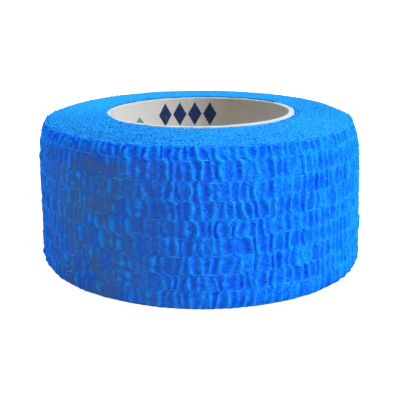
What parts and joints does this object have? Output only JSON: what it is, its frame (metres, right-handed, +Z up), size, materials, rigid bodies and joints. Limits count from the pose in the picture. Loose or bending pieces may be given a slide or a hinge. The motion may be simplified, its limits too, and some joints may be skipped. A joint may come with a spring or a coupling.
{
  "type": "cohesive bandage roll",
  "caption": "Roll of blue crinkled self-adhering bandage wound on a white paper core, standing on its flat end face.",
  "frame": {"origin": "centre of the flat end face that the roll stands on", "axes": "+Z up along the winding axis, -Y towards the side that the picture shows"},
  "size_m": [0.0545, 0.0546, 0.025],
  "materials": {
    "bandage": "matte crinkled self-adhering cloth with elastic yarns",
    "paper_board": "matte wound paper board with a white inner face"
  },
  "bodies": {
    "root": {"roll": "bandage", "core": "paper_board"}
  },
  "joints": []
}
